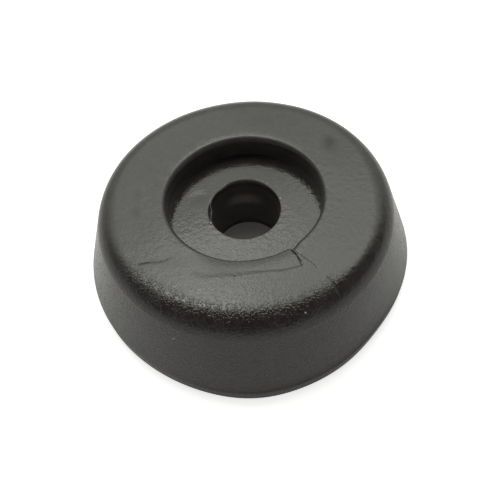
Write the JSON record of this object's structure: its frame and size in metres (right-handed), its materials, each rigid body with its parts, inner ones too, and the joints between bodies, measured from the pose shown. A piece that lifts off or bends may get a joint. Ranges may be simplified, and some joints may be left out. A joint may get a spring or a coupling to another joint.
{
  "type": "rubber foot",
  "caption": "Small tapered rubber foot, moulded in one piece, with a recessed tread that hides the head of the screw that holds it.",
  "frame": {"origin": "centre of the flat base, on the axis", "axes": "+Z along the axis from the wide base to the recessed tread; X and Y are equal, as the foot is round"},
  "size_m": [0.018, 0.018, 0.005],
  "materials": {
    "black_rubber": "fine sandblasted mould grain, dull satin"
  },
  "bodies": {
    "root": {"rubber_foot": "black_rubber"}
  },
  "joints": []
}
